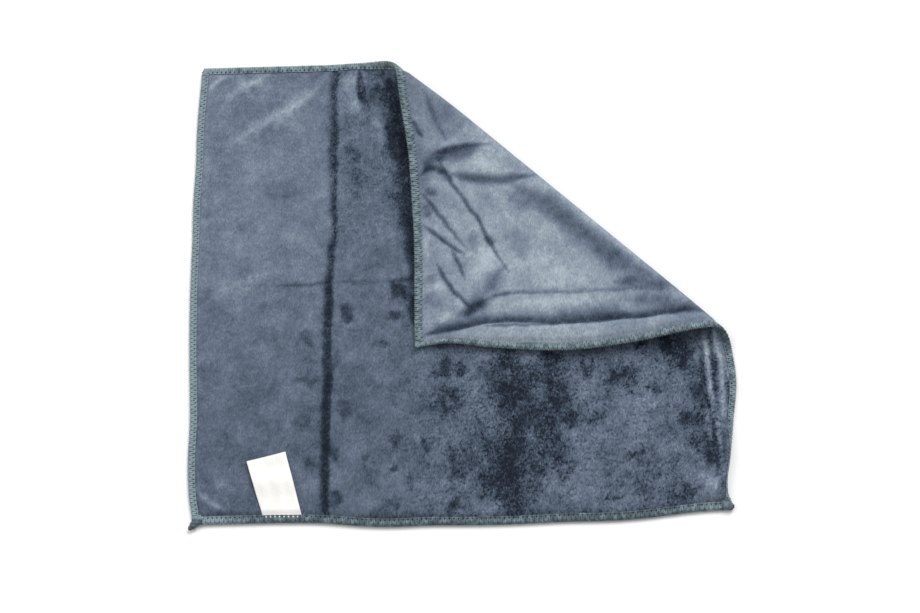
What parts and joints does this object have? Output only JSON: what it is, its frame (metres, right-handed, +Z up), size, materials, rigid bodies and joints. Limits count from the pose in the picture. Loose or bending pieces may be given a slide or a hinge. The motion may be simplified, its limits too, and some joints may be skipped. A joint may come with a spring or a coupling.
{
  "type": "microfiber cloth",
  "caption": "Plush microfiber cleaning cloth lying flat with one corner turned over, overlocked edge and a blank folded label sewn into the near hem.",
  "frame": {"origin": "under the middle of the cloth, on the surface it lies on", "axes": "+X along the cloth's width, +Y towards the far edge, +Z up out of the surface it lies on"},
  "size_m": [0.4003, 0.3803, 0.0156],
  "materials": {
    "plush_pile": "matte",
    "overlock_thread": "matte",
    "label_satin": "satin"
  },
  "bodies": {
    "panel": {"cloth_panel": "plush_pile", "cloth_bend": "plush_pile", "upper_looper_left": "overlock_thread", "lower_looper_left": "overlock_thread", "needle_thread_left": "overlock_thread", "upper_looper_near": "overlock_thread", "lower_looper_near": "overlock_thread", "needle_thread_near": "overlock_thread", "upper_looper_right": "overlock_thread", "lower_looper_right": "overlock_thread", "needle_thread_right": "overlock_thread", "upper_looper_far": "overlock_thread", "lower_looper_far": "overlock_thread", "needle_thread_far": "overlock_thread", "upper_looper_right_bend": "overlock_thread", "lower_looper_right_bend": "overlock_thread", "needle_thread_right_bend": "overlock_thread", "upper_looper_far_bend": "overlock_thread", "lower_looper_far_bend": "overlock_thread", "needle_thread_far_bend": "overlock_thread", "label_tail": "label_satin"},
    "corner": {"cloth_corner": "plush_pile", "upper_looper_right_turned": "overlock_thread", "lower_looper_right_turned": "overlock_thread", "needle_thread_right_turned": "overlock_thread", "upper_looper_far_turned": "overlock_thread", "lower_looper_far_turned": "overlock_thread", "needle_thread_far_turned": "overlock_thread"},
    "label": {"label_leaves": "label_satin"}
  },
  "joints": [
    {"name": "corner_fold", "type": "hinge", "parent": "panel", "child": "corner", "pos_m": [0.0776, 0.07445, 0.00804], "axis": [-0.7251, 0.6886, 0], "range_deg": [0, 179.5], "deforming": ["cloth_bend", "upper_looper_right_bend", "lower_looper_right_bend", "needle_thread_right_bend", "upper_looper_far_bend", "lower_looper_far_bend", "needle_thread_far_bend"]},
    {"name": "label_flip", "type": "hinge", "parent": "panel", "child": "label", "pos_m": [-0.132, -0.1826, 0.00435], "axis": [1, 0, 0], "range_deg": [0, 180]}
  ]
}
